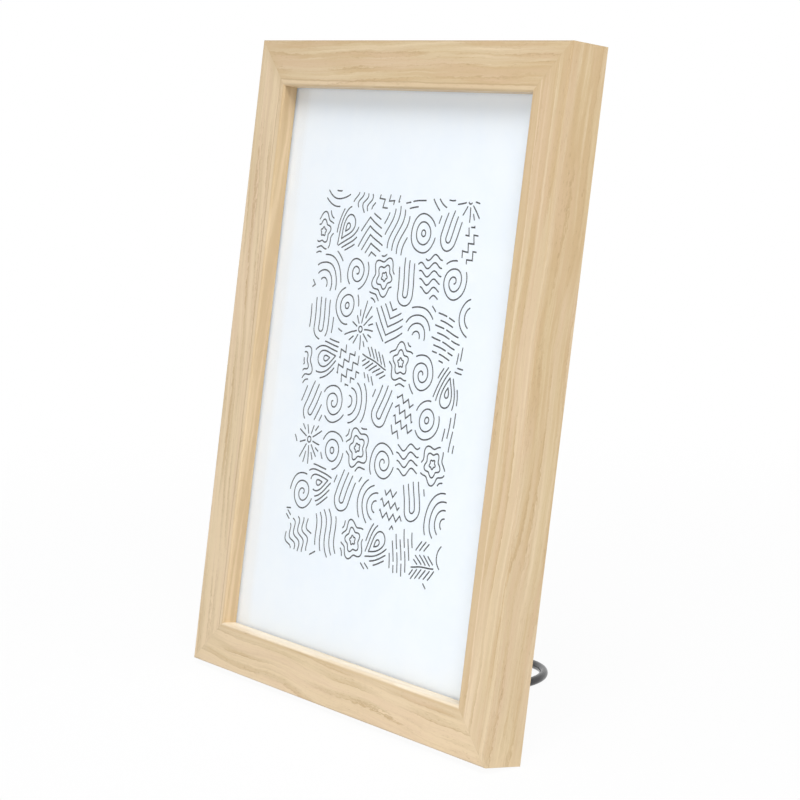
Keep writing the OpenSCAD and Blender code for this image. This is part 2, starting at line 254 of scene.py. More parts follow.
    # Painted shade: the rounded outer front edge is darkened.
    arris_shade = (depth - across).rise(FRAME_D - 0.85, FRAME_D - 0.5)
    colour = finish.mix(colour, ARRIS_SHADE, arris_shade * 0.4)
    quiet = 1.0 - on_wall * 0.8
    colour = finish.mix(colour, LINE_WOOD, edge * quiet * 0.42)
    colour = finish.mix(colour, PORE_WOOD, pores * quiet * 0.34)
    seam = 1.0 - abs(from_end - across).rise(0.03, 0.2)
    colour = finish.mix(colour, SEAM_WOOD, seam * 0.14)
    finish.feed("Base Color", colour)
    finish.feed("Roughness", 0.42 + (fibre - 0.5) * 0.2 + pores * 0.1)
    finish.feed("Coat Weight", 0.16 - pores * 0.1)
    finish.bump(fibre * 0.4 + hair * 0.25 - pores * 0.5 - edge * 0.3 - seam * 0.6, 0.05)
    return finish.material


def dress(node, material):
    """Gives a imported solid, kept as it is, its own finish."""
    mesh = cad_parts[node].data
    mesh.materials.clear()
    mesh.materials.append(material)


# Each wood: the axis that its grain runs along, the edge that it lies at, its flow (tilt, drift, ripple
# and seed), how much darker it is, its band of painted light and shade by the sight edge (width, tone,
# line), and its wall's tone: painted shade at the left and top, a painted sheen on the bottom ledge.
WOODS = {
    "stile_left": (
        "z", "left", (0.03, 9.0, 1.0, 11.0), -0.17, (3.4, LIGHT_WOOD, LINE_WOOD), shade(188, 160, 119)
    ),
    "stile_right": (
        "z", "right", (0.035, 8.0, 1.0, 23.0), 0.3, (6.5, DARK_WOOD, PALE_WOOD), MIDDLE_WOOD
    ),
    "rail_top": (
        "x", "top", (0.02, 10.0, 1.8, 37.0), 0.25, (3.0, LIGHT_WOOD, LINE_WOOD), shade(196, 168, 126)
    ),
    "rail_bottom": (
        "x", "bottom", (0.05, 22.0, 1.8, 51.0), 0.1, (3.0, DARK_WOOD, MIDDLE_WOOD), shade(255, 243, 221)
    ),
}
for node, grain in WOODS.items():
    dress(node, moulding_finish("wood_of_" + node, *grain))

# Corner nails
# Two v-shaped strips of hard steel are pressed across each mitre from the back until they are flush.
# Only their bright edge shows.
STEEL = shade(186, 188, 192)
STEEL_DARK = shade(140, 143, 148)


def steel_finish(name, light, dark, roughness, grain):
    """Cold-rolled steel: cloudy patches, and fine rolling lines drawn out along the height."""
    finish = Finish(name, roughness, Metallic=1.0)
    x, depth, z = finish.upright_mm()
    cloud = finish.noise(finish.vector(x * 0.35, depth * 0.35, z * 0.35), 3.0, 0.6)
    rolled = finish.noise(finish.vector(x * grain, depth * grain, z * 0.4), 2.0, 0.6)
    finish.feed("Base Color", finish.mix(light, dark, (cloud * 0.9 + rolled * 0.5 - 0.2).rise(0.2, 1.0)))
    finish.feed("Roughness", roughness + (cloud - 0.5) * 0.25 + (rolled - 0.5) * 0.15)
    finish.bump(rolled + cloud * 0.3, 0.02)
    return finish.material


dress("corner_v_nails", steel_finish("pressed_steel", STEEL, STEEL_DARK, 0.4, 6.0))

# Glass
# A cut pane of float glass lies behind the lip. It is clear, so it shows only by the light that its
# two faces throw back.
GLASS_INDEX = 1.3
WHITE = (1.0, 1.0, 1.0, 1.0)


def glass_finish():
    """Glass for what is seen through it, and plainly clear to light on its way to the sheet. Its low
    index keeps what it mirrors as faint as in the photograph."""
    finish = Finish("float_glass", 0.0, Base_Color=WHITE, Transmission_Weight=1.0, IOR=GLASS_INDEX)
    x, depth, z = finish.upright_mm()
    wiped = finish.noise(finish.vector(x * 0.03, depth, z * 0.02), 3.0, 0.6)
    finish.feed("Roughness", (wiped - 0.45).most(0.0) * 0.04)
    shadow, diffuse = finish.node("ShaderNodeLightPath", output=("Is Shadow Ray", "Is Diffuse Ray"))
    clear = finish.node("ShaderNodeBsdfTransparent", inputs={"Color": WHITE})
    shaded = Socket(finish, finish.shader.outputs["BSDF"])
    pane = finish.node("ShaderNodeMixShader", inputs={0: shadow.most(diffuse), 1: shaded, 2: clear})
    finish.join(pane, finish.tree.nodes["Material Output"].inputs["Surface"])
    return finish.material


dress("glass_pane", glass_finish())

# Printed sheet
# Smooth coated paper of 210 by 297 mm, cut square, lies flat against the glass. A clear margin runs
# round a field of black line work.
SHEET_W = 210.0
SHEET_H = 297.0
SHEET_FRONT = -11.94
SHEET_BACK = -11.72
SHEET_STEPS = 12
PAPER = shade(244, 250, 255)
PAPER_DIM = shade(241, 248, 255)


def lean_back(points):
    """Upright millimetres to the frame's real place: turned about X by the lean, moved, in metres."""
    x, y, z = np.moveaxis(np.asarray(points, float), -1, 0)
    leant_y = y * math.cos(LEAN) + z * math.sin(LEAN) - ORIGIN_Y
    leant_z = z * math.cos(LEAN) - y * math.sin(LEAN)
    return np.stack([x, leant_y, leant_z], -1) * MM


def skin(grid):
    """Faces over a grid of points whose columns run round: face i, j joins points i, i+1 with j, j+1.
    The first and last rows are closed by fans round their middles. Gives points and faces."""
    rows, columns = grid.shape[:2]
    i, j = np.meshgrid(np.arange(rows - 1), np.arange(columns), indexing="ij")
    k = (j + 1) % columns
    quads = np.stack([i * columns + j, (i + 1) * columns + j, (i + 1) * columns + k, i * columns + k], -1)
    faces = quads.reshape(-1, 4).tolist()
    around = np.arange(columns)
    following = (around + 1) % columns
    last = (rows - 1) * columns
    first_fan = np.stack([around, following, np.full(columns, grid[..., 0].size)], -1)
    last_fan = np.stack([last + following, last + around, np.full(columns, grid[..., 0].size + 1)], -1)
    faces += first_fan.tolist() + last_fan.tolist()
    return np.vstack([grid.reshape(-1, 3), grid[0].mean(0), grid[-1].mean(0)]), faces


def outward(points, faces):
    """Turns every face round if the volume that they enclose comes out negative."""
    fans = np.array([(f[0], f[n], f[n + 1]) for f in faces for n in range(1, len(f) - 1)])
    a, b, c = (points[fans[:, n]] - points.mean(0) for n in range(3))
    inside_out = np.einsum("ij,ij->i", a, np.cross(b, c)).sum() < 0
    return [face[::-1] for face in faces] if inside_out else faces


def piece(name, parts, material, body, stands_for=(), sharp=35.0):
    """One object made of several skins, smooth but for edges sharper than an angle in degrees."""
    points, faces = [], []
    for part_points, part_faces in parts:
        start = sum(len(p) for p in points)
        faces += [[start + corner for corner in face] for face in outward(part_points, part_faces)]
        points.append(part_points)
    mesh = bpy.data.meshes.new(name)
    mesh.from_pydata(np.vstack(points).tolist(), [], faces)
    mesh.shade_smooth()
    mesh.set_sharp_from_angle(angle=math.radians(sharp))
    mesh.materials.append(material)
    made = bpy.data.objects.new(name, mesh)
    bpy.context.scene.collection.objects.link(made)
    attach(made, body)
    if stands_for:
        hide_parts(*stands_for)


def paper_finish():
    """Bluish white coating over faintly clouded fibre."""
    finish = Finish("coated_paper", 0.55, Specular_IOR_Level=0.3)
    x, depth, z = finish.upright_mm()
    cloud = finish.noise(finish.vector(x * 0.05, depth, z * 0.05), 4.0, 0.6)
    tooth = finish.noise(finish.vector(x * 4.0, depth, z * 4.0), 2.0)
    finish.feed("Base Color", finish.mix(PAPER_DIM, PAPER, cloud.rise(0.3, 0.7)))
    finish.feed("Roughness", 0.5 + tooth * 0.12)
    finish.bump(tooth, 0.01)
    return finish.material


sheet_x = np.array([-1, 1, 1, -1]) * SHEET_W / 2
sheet_y = np.array([SHEET_FRONT, SHEET_FRONT, SHEET_BACK, SHEET_BACK])
sheet_z = np.linspace(SIDE_W, SIDE_W + SHEET_H, SHEET_STEPS)[:, None]
sheet_grid = np.stack(np.broadcast_arrays(sheet_x, sheet_y, sheet_z), -1)
piece("paper_sheet", [skin(lean_back(sheet_grid))], paper_finish(), "frame", ["print_sheet"])

# Line work
# The sheet's printed design: patches of black lines drawn with one round pen, such as arches, waves,
# reeds, hairpins and coils. They fill an upright rectangle and are cut off straight at its edges.
# No patch has the motif of a near one, and each is turned; every motif is drawn about its middle.
DESIGN_LEFT, DESIGN_RIGHT, DESIGN_LOW, DESIGN_HIGH = -67.0, 63.0, 71.0, 259.0
PATCH_W = 20.0
PATCH_H = 25.0
PATCH_GAP = 2.6
PATCH_SHAKE = 0.36
NEAR_PATCH = 42.0
CHOICES = 7
PEN_W = 0.76
PEN_STEP = 0.55
PEN_WOBBLE = 0.25
FEWEST_STEPS = 6
LINE_GAP = 4.0
REACH = 22.0
INK_FRONT = SHEET_FRONT - 0.012
INK = shade(26, 27, 29)
INK_THIN = shade(46, 47, 50)
pen_draws = np.random.default_rng(19)
levels = np.arange(-REACH, REACH, LINE_GAP)
level_x = np.arange(-REACH, REACH, PEN_STEP)


def traced(points):
    """A line through the points with a station about every pen step, its corners kept."""
    points = np.asarray(points, float)
    lengths = np.hypot(*np.diff(points, axis=0).T)
    stations = [
        np.linspace(a, b, max(2, int(length / PEN_STEP) + 1))[:-1]
        for a, b, length in zip(points[:-1], points[1:], lengths)
    ]
    return np.vstack(stations + [points[-1:]])


def bow(radius, start, end, x=0.0, z=0.0):
    """An arc of a circle between two angles in degrees."""
    steps = max(4, int(abs(end - start) / 360 * 2 * math.pi * radius / PEN_STEP) + 1)
    turn = np.radians(np.linspace(start, end, steps))
    return np.stack([x + radius * np.cos(turn), z + radius * np.sin(turn)], -1)


def arches():
    """Half circles, one over the other."""
    return [bow(radius, 5, 175, 0, -8.0) for radius in np.arange(3.0, 30.0, LINE_GAP)]


def rings():
    """Circles round one middle."""
    return [bow(radius, 0, 360) for radius in np.arange(1.6, REACH, LINE_GAP)]


def waves():
    """Level sine lines: height + 1.6 sin(2 pi x / 11)."""
    return [np.stack([level_x, h + 1.6 * np.sin(level_x * 2 * math.pi / 11)], -1) for h in levels]


def reeds():
    """Upright lines that sway together: x + 2.6 sin(z / 5.5), each a little out of step with the last."""
    return [np.stack([h + 2.6 * np.sin(level_x / 5.5 + h * 0.04), level_x], -1) for h in levels]


def zigzags():
    """Level zigzags: height plus and minus 1.7, by turns."""
    x = np.arange(-REACH, REACH, 2.7)
    return [traced(np.stack([x, h * 1.45 + 1.7 * (-1.0) ** np.arange(len(x))], -1)) for h in levels]


def coil():
    """A spiral whose radius grows evenly by one line gap a turn."""
    turn = np.linspace(1.2, REACH / LINE_GAP * 2 * math.pi, 340)
    radius = turn / (2 * math.pi) * LINE_GAP
    return [np.stack([radius * np.cos(turn), radius * np.sin(turn)], -1)]


def fern():
    """Straight ribs with slanting veins on both sides, which stop short of the next rib's."""
    made = []
    for rib in (-13.5, 0.0, 13.5):
        made.append(traced([(rib, -REACH), (rib, REACH)]))
        for start in np.arange(-REACH, REACH, 3.3):
            for side in (-1, 1):
                made.append(traced([(rib + side * 1.3, start), (rib + side * 5.6, start + 4.4)]))
    return made


def rays():
    """Spokes round a small ring, with more spokes between them where they have spread."""
    made = [bow(1.5, 0, 360)]
    for count, start, shift in ((9, 3.4, 0.0), (9, 7.0, 0.5), (18, 14.0, 0.5)):
        for a in (np.arange(count) + shift) * 2 * math.pi / count:
            made.append(traced(np.outer([start, REACH], [math.cos(a), math.sin(a)])))
    return made


def hatching():
    """Rows of straight dashes, every second row shifted by half their pitch."""
    made = []
    for row, h in enumerate(np.arange(-REACH, REACH, 3.1)):
        for x in np.arange(-REACH - (row % 2) * 6.0, REACH, 12.0):
            made.append(traced([(x, h), (x + 9.8, h)]))
    return made


def petals():
    """Closed lines round one middle, whose radius swells once for each petal."""
    turn = np.linspace(0, 2 * math.pi, 110)
    sizes = np.arange(2.4, REACH, LINE_GAP)
    swell = 0.86 + 0.14 * np.cos(5 * turn)
    return [np.stack([size * swell * np.cos(turn), size * swell * np.sin(turn)], -1) for size in sizes]


def drops():
    """Nested drops: a circle drawn out to a point, x = 0.75 size sin(t) sin(t/2)^1.3, z = size cos(t)."""
    t = np.linspace(0.2, 2 * math.pi - 0.2, 120)
    sizes = np.arange(2.6, REACH * 1.2, LINE_GAP * 1.25)
    return [np.stack([s * 0.75 * np.sin(t) * np.sin(t / 2) ** 1.3, s * np.cos(t)], -1) for s in sizes]


def chevrons():
    """Wide roofs, one over the other."""
    return [traced([(-REACH, h * 1.1 - 14.0), (0, h * 1.1 + 4.0), (REACH, h * 1.1 - 14.0)]) for h in levels]


def hairpins():
    """Nested hairpins: a half circle with two straight legs that run up from its ends."""
    made = []
    for radius in np.arange(1.9, REACH, LINE_GAP):
        made.append(traced(np.vstack([(-radius, REACH), bow(radius, 180, 360, 0, -4.0), (radius, REACH)])))
    return made


MOTIFS = [
    reeds, arches, hairpins, waves, coil, hatching, fern, rings, zigzags, petals, drops, rays, chevrons
]


def patch_middles():
    """Staggered rows of points, shaken, then moved twice to the middle of what lies nearest to each,
    which evens out the patches."""
    across = np.arange(DESIGN_LEFT - PATCH_W * 0.6, DESIGN_RIGHT + PATCH_W, PATCH_W)
    up = np.arange(DESIGN_LOW - PATCH_H * 0.4, DESIGN_HIGH + PATCH_H * 0.8, PATCH_H * 0.9)
    x, z = np.meshgrid(across, up)
    x = x + (np.arange(len(up)) % 2)[:, None] * PATCH_W / 2
    middles = np.stack([x.ravel(), z.ravel()], -1)
    middles = middles + pen_draws.uniform(-PATCH_SHAKE, PATCH_SHAKE, middles.shape) * (PATCH_W, PATCH_H)
    grid = np.stack(np.meshgrid(
        np.arange(across[0] - 8, across[-1] + 18, 2.0), np.arange(up[0] - 10, up[-1] + 10, 2.0)
    ), -1).reshape(-1, 2)
    for _ in range(2):
        nearest = np.linalg.norm(grid[:, None] - middles, axis=2).argmin(1)
        middles = np.array([grid[nearest == n].mean(0) for n in range(len(middles))])
    return middles


def within_patch(line, middle, others):
    """The stretches of a line that lie in the design's rectangle and nearer to their patch's middle than
    to any other, by half the patch gap at least."""
    toward = others - middle
    apart = np.linalg.norm(toward, axis=1)
    beyond = ((line[:, None] - (middle + others) / 2) * toward).sum(2) / apart
    x, z = line.T
    kept = (beyond < -PATCH_GAP / 2).all(1)
    kept &= (x > DESIGN_LEFT) & (x < DESIGN_RIGHT) & (z > DESIGN_LOW) & (z < DESIGN_HIGH)
    runs = np.split(np.arange(len(line)), np.flatnonzero(np.diff(kept.astype(int))) + 1)
    return [line[run] for run in runs if kept[run[0]] and len(run) >= FEWEST_STEPS]


def pen_stroke(line):
    """A band of the pen's width along a line. Its half width falls as a quarter circle past both ends,
    and at a corner each side point moves out along the mitre, which gives a sharp corner."""
    half = PEN_W / 2
    ways = np.diff(line, axis=0)
    ways /= np.maximum(np.hypot(*ways.T), 1e-9)[:, None]
    into, out = np.vstack([ways[:1], ways]), np.vstack([ways, ways[-1:]])
    mean = into + out
    mean /= np.maximum(np.hypot(*mean.T), 1e-9)[:, None]
    reach = half / np.maximum((mean * into).sum(1), 0.45)
    cap = np.radians([5, 30, 60])
    start = line[0] - ways[0] * half * np.cos(cap)[:, None]
    end = line[-1] + ways[-1] * half * np.cos(cap[::-1])[:, None]
    middle = np.vstack([start, line, end])
    across = np.vstack([np.repeat(ways[:1], 3, 0), mean, np.repeat(ways[-1:], 3, 0)])[:, ::-1] * (-1, 1)
    widths = np.concatenate([half * np.sin(cap), reach, half * np.sin(cap[::-1])])[:, None]
    return middle - across * widths, middle + across * widths


patches = patch_middles()
chosen = []
ink_parts = []
for number, middle in enumerate(patches):
    gaps = np.linalg.norm(patches - middle, axis=1)
    taken = [chosen[n] for n in range(number) if gaps[n] < NEAR_PATCH]
    free = [motif for motif in MOTIFS if motif not in taken]
    chosen.append(free[pen_draws.integers(0, CHOICES) % len(free)])
    least, most = (-0.5, 0.5) if chosen[-1] in (reeds, hairpins) else (0, 2 * math.pi)
    turn = pen_draws.uniform(least, most)
    spin = np.array([[math.cos(turn), -math.sin(turn)], [math.sin(turn), math.cos(turn)]])
    for line in chosen[-1]():
        line = line @ spin.T + middle
        line = line + PEN_WOBBLE * np.sin(line[:, ::-1] * (0.31, 0.37) + number)
        for stretch in within_patch(line, middle, np.delete(patches, number, 0)):
            left, right = pen_stroke(stretch)
            section = [
                np.insert(left, 1, INK_FRONT, 1), np.insert(right, 1, INK_FRONT, 1),
                np.insert(right, 1, SHEET_FRONT, 1), np.insert(left, 1, SHEET_FRONT, 1)
            ]
            ink_parts.append(skin(lean_back(np.stack(section, 1))))


def ink_finish():
    """Matt black ink, a little uneven where the paper drank it."""
    finish = Finish("black_ink", 0.6, Specular_IOR_Level=0.3)
    x, depth, z = finish.upright_mm()
    uneven = finish.noise(finish.vector(x * 1.5, depth, z * 1.5), 3.0)
    finish.feed("Base Color", finish.mix(INK, INK_THIN, uneven.rise(0.35, 0.7)))
    finish.feed("Roughness", 0.5 + uneven * 0.2)
    finish.bump(uneven, 0.004)
    return finish.material


piece("printed_lines", ink_parts, ink_finish(), "frame")

# Backing card
# Grey-brown board of pressed waste paper fills the rabbet behind the sheet. Its edge shows a little
# in the gap round the back panel.
CARD = shade(196, 172, 136)
CARD_DIM = shade(176, 150, 114)
CARD_SPECK = shade(120, 98, 72)


def card_finish():
    """Pressed pulp: clouds, and specks of stray fibre."""
    finish = Finish("pulp_card", 0.9, Specular_IOR_Level=0.2)
    x, depth, z = finish.upright_mm()
    cloud = finish.noise(finish.vector(x * 0.2, depth * 0.6, z * 0.2), 4.0, 0.6)
    speck = finish.noise(finish.vector(x * 2.5, depth * 5.0, z * 2.5), 2.0)
    colour = finish.mix(CARD, CARD_DIM, cloud.rise(0.3, 0.7))
    finish.feed("Base Color", finish.mix(colour, CARD_SPECK, speck.rise(0.62, 0.75) * 0.6))
    finish.feed("Roughness", 0.82 + speck * 0.15)
    finish.bump(speck + cloud, 0.05)
    return finish.material


dress("backing_card", card_finish())

# Back panel
# Thin brown hardboard, sawn to size. Its smooth side faces out and shows pressed wood fibre.
BOARD = shade(130, 99, 71)
BOARD_PALE = shade(142, 110, 80)
BOARD_HAIR = shade(96, 70, 49)
BOARD_CHIP = shade(178, 146, 110)


def hardboard_finish():
    """Pressed fibre: dark ground, fine hairs in two directions, and a few pale chips."""
    finish = Finish("brown_hardboard", 0.6, Specular_IOR_Level=0.35)
    x, depth, z = finish.upright_mm()
    cloud = finish.noise(finish.vector(x * 0.012, depth * 0.3, z * 0.012), 2.0, 0.4)
    level = finish.noise(finish.vector(x * 0.7, depth * 3.0, z * 4.0), 3.0, 0.6)
    upright = finish.noise(finish.vector(x * 4.0, depth * 3.0, z * 0.7), 3.0, 0.6)
    hairs = level.rise(0.5, 0.72).most(upright.rise(0.5, 0.72))
    chips = finish.noise(finish.vector(x * 1.1, depth, z * 1.1 + 9.0), 2.0).rise(0.68, 0.76)
    colour = finish.mix(BOARD, BOARD_PALE, cloud.rise(0.25, 0.75))
    colour = finish.mix(colour, BOARD_HAIR, hairs * 0.55)
    finish.feed("Base Color", finish.mix(colour, BOARD_CHIP, chips * 0.5))
    finish.feed("Roughness", 0.5 + hairs * 0.2 + cloud * 0.1)
    finish.bump(level + upright + chips * 0.5, 0.05)
    return finish.material


dress("back_panel", hardboard_finish())

# Turn clips
# Six tongues stamped from zinc-plated steel strip, each with a rounded tip and a finger tab bent up
# at its tail. They turn on rivets, and their tips go into the saw kerf in the rabbet's wall.
CLIP_T = 1.0
CLIP_W = 9.0
CLIP_INSET = 11.0
CLIP_TAIL = 8.5
CLIP_REACH = 13.5
CLIP_TAB_H = 3.5
CLIP_BEND_R = 1.2
CLIP_SOFT = 0.18
CLIP_BACK = -5.55
CLIP_ZINC = shade(196, 198, 202)
CLIP_ZINC_DARK = shade(152, 155, 160)
CLIP_RISE = 0.26 * FRAME_H
CLIP_SIDE = FRAME_W / 2 - SIDE_W - CLIP_INSET
CLIP_PLACES = {
    "left_upper": (-CLIP_SIDE, FRAME_H / 2 + CLIP_RISE, 180),
    "left_lower": (-CLIP_SIDE, FRAME_H / 2 - CLIP_RISE, 180),
    "right_upper": (CLIP_SIDE, FRAME_H / 2 + CLIP_RISE, 0),
    "right_lower": (CLIP_SIDE, FRAME_H / 2 - CLIP_RISE, 0),
    "top": (0.0, FRAME_H - SIDE_W - CLIP_INSET, -90),
    "bottom": (0.0, SIDE_W + CLIP_INSET, 90),
}


def strip(path, low, high, thick, soft):
    """Sheet metal: a thin rectangle, its corners rounded by soft, carried along a path in x and y.
    low and high are the heights of its two edges at each station; the path is its middle."""
    way = np.gradient(path, axis=0)
    way /= np.hypot(*way.T)[:, None]
    out = way[:, ::-1] * (-1, 1)
    turn = np.radians([0, 45, 90])
    corner = np.stack([np.cos(turn), np.sin(turn)], -1)
    sides = np.vstack([corner, corner[::-1] * (-1, 1), corner * (-1, -1), corner[::-1] * (1, -1)])
    signs = np.repeat([[1, 1], [-1, 1], [-1, -1], [1, -1]], 3, 0)
    middle, half = (low + high) / 2, np.maximum((high - low) / 2, soft * 1.01)
    off = signs[:, 0] * (thick / 2 - soft) + soft * sides[:, 0]
    height = middle[:, None] + signs[:, 1] * (half[:, None] - soft) + soft * sides[:, 1]
    flat = path[:, None, :] + off[None, :, None] * out[:, None, :]
    return np.concatenate([flat, height[:, :, None]], -1)


def turned_about_y(points, degrees, x, y, z):
    """Turns points about the y axis and moves them, as a clip lies at its own side of the panel."""
    a = math.radians(degrees)
    px, py, pz = np.moveaxis(points, -1, 0)
    turned_x = px * math.cos(a) + pz * math.sin(a)
    turned_z = pz * math.cos(a) - px * math.sin(a)
    return np.stack([x + turned_x, y + py, z + turned_z], -1)


def clip_strip():
    """Down the finger tab, round its bend and along the tongue to the rounded tip."""
    tab_x = -CLIP_TAIL + CLIP_T / 2
    tip_x = CLIP_REACH - CLIP_W / 2
    level = CLIP_T / 2
    bend = np.radians(np.linspace(180, 270, 9))
    tip = np.linspace(0, 1, 14)[1:] ** 0.6
    path = np.vstack([
        np.stack([np.full(4, tab_x), np.linspace(CLIP_TAB_H, level + CLIP_BEND_R + 0.2, 4)], -1),
        np.stack([tab_x + CLIP_BEND_R * (1 + np.cos(bend)), level + CLIP_BEND_R * (1 + np.sin(bend))], -1),
        np.stack([np.linspace(tab_x + CLIP_BEND_R + 0.3, tip_x, 8), np.full(8, level)], -1),
        np.stack([tip_x + tip * CLIP_W / 2, np.full(len(tip), level)], -1),
    ])
    past = np.clip((path[:, 0] - tip_x) / (CLIP_W / 2), 0, 1)
    half = CLIP_W / 2 * np.sqrt(1 - past ** 2)
    return strip(path, -half, half, CLIP_T, CLIP_SOFT)


clip_steel = steel_finish("zinc_plated_strip", CLIP_ZINC, CLIP_ZINC_DARK, 0.34, 3.0)
for side, (x, z, degrees) in CLIP_PLACES.items():
    clip_grid = lean_back(turned_about_y(clip_strip(), degrees, x, CLIP_BACK, z))
    node = "turn_clip_" + side
    piece("clip_" + side, [skin(clip_grid)], clip_steel, node, [node])

# Clip rivets
# Semi-tubular steel rivets, one to a clip: a thin head sunk in the panel's front, a shank through panel
# and clip, and a head rolled over on the outside, with the dimple of the rolling tool.
RIVET_R = 1.5
RIVET_HEAD_R = 3.25
RIVET_INNER = -3.15
RIVET_HEAD = 1.15
RIVET_HEAD_T = 0.8
RIVET_STEEL = shade(172, 174, 178)
RIVET_STEEL_DARK = shade(128, 131, 136)
# How near to its axis a turned profile starts and ends.
AXIS = 0.02
# The dimple's outline: radius, and height over the head's underside.
RIVET_DIMPLE = [(1.75, RIVET_HEAD_T), (1.5, 0.7), (1.1, 0.35), (0.5, 0.2), (AXIS, 0.18)]


def turned(profile, steps=40):
    """A profile of radius and height, from pole to pole, spun about the y axis."""
    around = np.linspace(0, 2 * math.pi, steps, endpoint=False)
    radius, height = np.asarray(profile, float).T
    x = radius[:, None] * np.cos(around)
    z = radius[:, None] * np.sin(around)
    return np.stack([x, np.broadcast_to(height[:, None], x.shape), z], -1)


def rounded_rim(radius, low, high, roll, steps=6):
    """The rim of a head: up its outside from low, then a quarter circle inwards to its top."""
    turn = np.radians(np.linspace(0, 90, steps))
    rolled = [(radius - roll * (1 - math.cos(a)), high - roll * (1 - math.sin(a))) for a in turn]
    return [(radius, low)] + rolled


rivet_profile = [(AXIS, RIVET_INNER), (RIVET_HEAD_R - 0.1, RIVET_INNER), (RIVET_HEAD_R, RIVET_INNER + 0.1)]
rivet_profile += [(RIVET_HEAD_R, RIVET_INNER + RIVET_HEAD_T), (RIVET_R, RIVET_INNER + RIVET_HEAD_T)]
rivet_profile += [(RIVET_R, RIVET_HEAD)]
rivet_profile += rounded_rim(RIVET_HEAD_R, RIVET_HEAD, RIVET_HEAD + RIVET_HEAD_T, 0.6)
rivet_profile += [(radius, RIVET_HEAD + height) for radius, height in RIVET_DIMPLE]
rivet_parts = [
    skin(lean_back(turned(rivet_profile) + (x, CLIP_BACK, z))) for x, z, degrees in CLIP_PLACES.values()
]
rivet_steel = steel_finish("rivet_steel_dull", RIVET_STEEL, RIVET_STEEL_DARK, 0.38, 5.0)
piece("panel_rivets", rivet_parts, rivet_steel, "frame", ["clip_rivets"])

# Toothed hangers
# Two strips of zinc-plated steel, pressed up into a low bridge between flat ends, with a row of notches
# along the lower edge. One hangs the frame upright, the other sideways.
HANGER_LEN = 45.0
HANGER_H = 9.0
HANGER_T = 0.8
HANGER_TAB = 7.0
HANGER_SOFT = 0.12
BRIDGE = 1.6
NOTCH_N = 9
NOTCH_DEPTH = 1.3
HANGER_ZINC = shade(200, 202, 205)
HANGER_ZINC_DARK = shade(160, 162, 167)
HANGER_PLACES = {
    "upright": (0.0, FRAME_H - SIDE_W / 2, 0),
    "sideways": (FRAME_W / 2 - SIDE_W / 2, FRAME_H / 2, 90),
}


def hanger_strip():
    """Along one flat end, up the slope, over the bridge and down again. Each notch is a V in its lower
    edge, a third of their distance wide to either side."""
    inner = HANGER_LEN / 2 - HANGER_TAB
    over = inner - BRIDGE
    pitch = 2 * over / (NOTCH_N + 1)
    notches = (np.arange(NOTCH_N) - (NOTCH_N - 1) / 2) * pitch
    sides = (notches[:, None] + np.array([-pitch / 3, 0, pitch / 3])).ravel()
    ends = np.array([HANGER_LEN / 2, HANGER_LEN / 2 - 0.3, inner + 0.4, inner, over, over - 0.4])
    x = np.concatenate([-ends, sides, ends[::-1]])
    rise = np.interp(np.abs(x), [over, inner], [BRIDGE, 0.0])
    nearest = np.abs(x[:, None] - notches).min(1)
    low = -HANGER_H / 2 + NOTCH_DEPTH * np.clip(1 - nearest / (pitch / 3), 0, 1)
    high = np.full(len(x), HANGER_H / 2)
    return strip(np.stack([x, rise + HANGER_T / 2], -1), low, high, HANGER_T, HANGER_SOFT)


hanger_steel = steel_finish("zinc_plated_hanger", HANGER_ZINC, HANGER_ZINC_DARK, 0.32, 3.0)
for way, (x, z, degrees) in HANGER_PLACES.items():
    hanger_grid = lean_back(turned_about_y(hanger_strip(), degrees, x, 0.0, z))
    piece(
        "toothed_hanger_" + way, [skin(hanger_grid)], hanger_steel, "frame", ["hanger_" + way],
        sharp=25
    )

# Hanger nails
# Small brass-plated pins with low domed heads, two to a hanger, driven through the flat ends.
NAIL_R = 0.8
NAIL_LEN = 9.0
NAIL_HEAD_R = 1.9
NAIL_HEAD_T = 0.7
NAIL_RIM_T = 0.1
NAIL_POINT = 1.8
BRASS = shade(222, 190, 118)
BRASS_DARK = shade(176, 140, 76)

nail_dome = np.radians(np.linspace(8, 89, 9))
nail_rise = NAIL_HEAD_T - NAIL_RIM_T
nail_profile = [(AXIS, -NAIL_LEN), (0.3, -NAIL_LEN + 0.4), (NAIL_R, -NAIL_LEN + NAIL_POINT)]
nail_profile += [(NAIL_R, HANGER_T), (NAIL_HEAD_R, HANGER_T)]
nail_profile += [
    (NAIL_HEAD_R * math.cos(a), HANGER_T + NAIL_RIM_T + nail_rise * math.sin(a)) for a in nail_dome
]
nail_parts = []
for x, z, degrees in HANGER_PLACES.values():
    for end in (-1, 1):
        nail = turned(nail_profile, 28) + (end * (HANGER_LEN - HANGER_TAB) / 2, 0.0, 0.0)
        nail_parts.append(skin(lean_back(turned_about_y(nail, degrees, x, 0.0, z))))
brass = steel_finish("brass_plate", BRASS, BRASS_DARK, 0.3, 4.0)
piece("brass_pins", nail_parts, brass, "frame", ["hanger_nails"])

# Wire sleeve
# A black nylon plug over the end of the stand's wire, which turns in it. Its round body slides in the
# drilled hole, and its collar stops on the back of the rail.
SLEEVE_R = 3.0
SLEEVE_LEN = 14.0
SLEEVE_WALL = 0.75
SLEEVE_BORE = 2.3
COLLAR_R = 4.5
COLLAR_T = 1.2
HOLE_Z = 9.0
NYLON = shade(30, 31, 33)
NYLON_PALE = shade(46, 47, 50)

